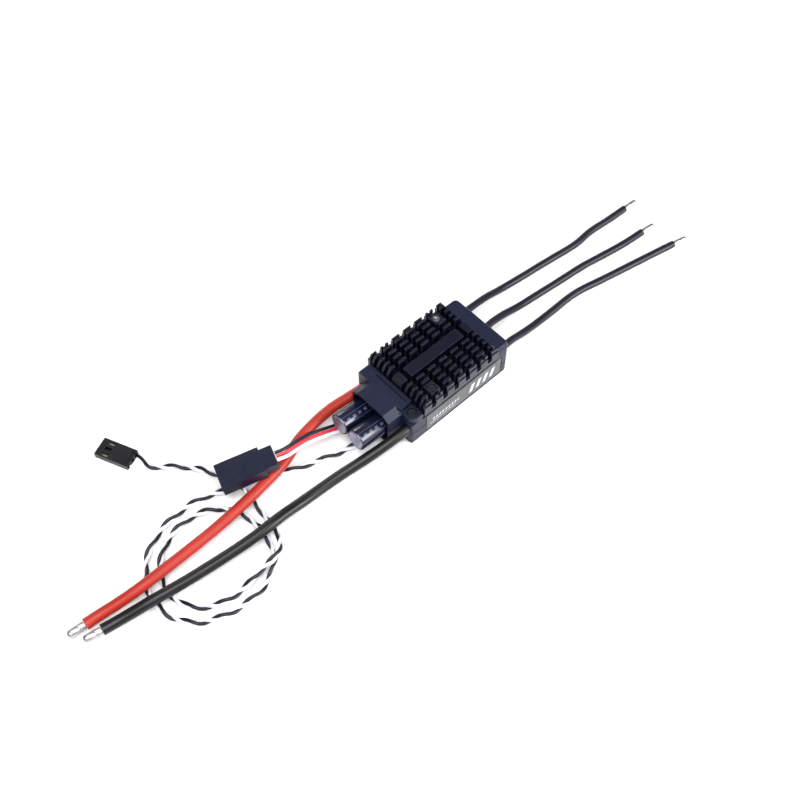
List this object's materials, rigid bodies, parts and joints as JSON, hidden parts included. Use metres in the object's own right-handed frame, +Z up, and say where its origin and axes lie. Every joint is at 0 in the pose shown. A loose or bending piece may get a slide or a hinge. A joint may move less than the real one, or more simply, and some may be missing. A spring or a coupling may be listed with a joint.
{
  "type": "electronic speed controller",
  "caption": "Brushless motor speed controller in a small dark case with a pin-fin heat sink, front capacitors, heavy red and black supply leads, motor leads and a coiled signal lead.",
  "frame": {"origin": "middle of the footprint of the case with its hood and capacitors, on the flat underside it stands on", "axes": "+X from the capacitors and supply leads towards the motor leads, the case's long way; +Z up through the heat sink; +Y to the left seen from above looking along +X"},
  "size_m": [0.2912, 0.0889, 0.021],
  "materials": {
    "case_plastic": "satin dark slate-blue moulded plastic",
    "label_film": null,
    "sink_aluminium": "near-black blue anodised, satin",
    "screw_steel": "bright zinc-plated",
    "board_laminate": "green solder-masked laminate",
    "chip_resin": "black moulded resin",
    "pad_silicone": "soft grey-blue heat pad",
    "bus_copper": "tinned copper bar",
    "can_aluminium": "bare lavender-grey drawn can",
    "sleeve_film": "shrunk navy film",
    "bung_rubber": "black moulded rubber",
    "red_silicone": "satin red silicone insulation",
    "black_silicone": "satin black silicone insulation",
    "white_pvc": "white insulation",
    "connector_nylon": "black moulded nylon",
    "contact_plate": "plated spring contact",
    "tinned_copper": "tinned copper strands"
  },
  "bodies": {
    "root": {"auxiliary_grommet": "bung_rubber", "auxiliary_lead_black": "black_silicone", "auxiliary_lead_red": "red_silicone", "auxiliary_lead_white": "white_pvc", "board_header": "connector_nylon", "boss_screw": "screw_steel", "bottom_shell": "case_plastic", "bus_bar_minus": "bus_copper", "bus_bar_plus": "bus_copper", "capacitor_board": "board_laminate", "capacitor_bung_left": "bung_rubber", "capacitor_bung_right": "bung_rubber", "capacitor_can_left": "can_aluminium", "capacitor_can_right": "can_aluminium", "capacitor_sleeve_left": "sleeve_film", "capacitor_sleeve_right": "sleeve_film", "case_screw_left": "screw_steel", "case_screw_right": "screw_steel", "control_board": "board_laminate", "gate_driver_1": "chip_resin", "gate_driver_2": "chip_resin", "gate_driver_3": "chip_resin", "heat_sink": "sink_aluminium", "housing_pin_1": "contact_plate", "housing_pin_2": "contact_plate", "housing_pin_3": "contact_plate", "label_left": "label_film", "label_right": "label_film", "microcontroller": "chip_resin", "mosfet_1": "chip_resin", "mosfet_2": "chip_resin", "mosfet_3": "chip_resin", "mosfet_4": "chip_resin", "mosfet_5": "chip_resin", "mosfet_6": "chip_resin", "phase_lead_a": "black_silicone", "phase_lead_b": "black_silicone", "phase_lead_c": "black_silicone", "phase_tip_a": "tinned_copper", "phase_tip_b": "tinned_copper", "phase_tip_c": "tinned_copper", "pin_housing": "connector_nylon", "plug_contact_ground": "contact_plate", "plug_contact_signal": "contact_plate", "power_board": "board_laminate", "power_lead_black": "black_silicone", "power_lead_red": "red_silicone", "power_tip_black": "tinned_copper", "power_tip_red": "tinned_copper", "signal_grommet": "bung_rubber", "signal_pair": "white_pvc", "signal_plug": "connector_nylon", "sink_screw_front": "screw_steel", "sink_screw_rear": "screw_steel", "thermal_pad": "pad_silicone", "top_shell": "case_plastic"}
  },
  "joints": []
}
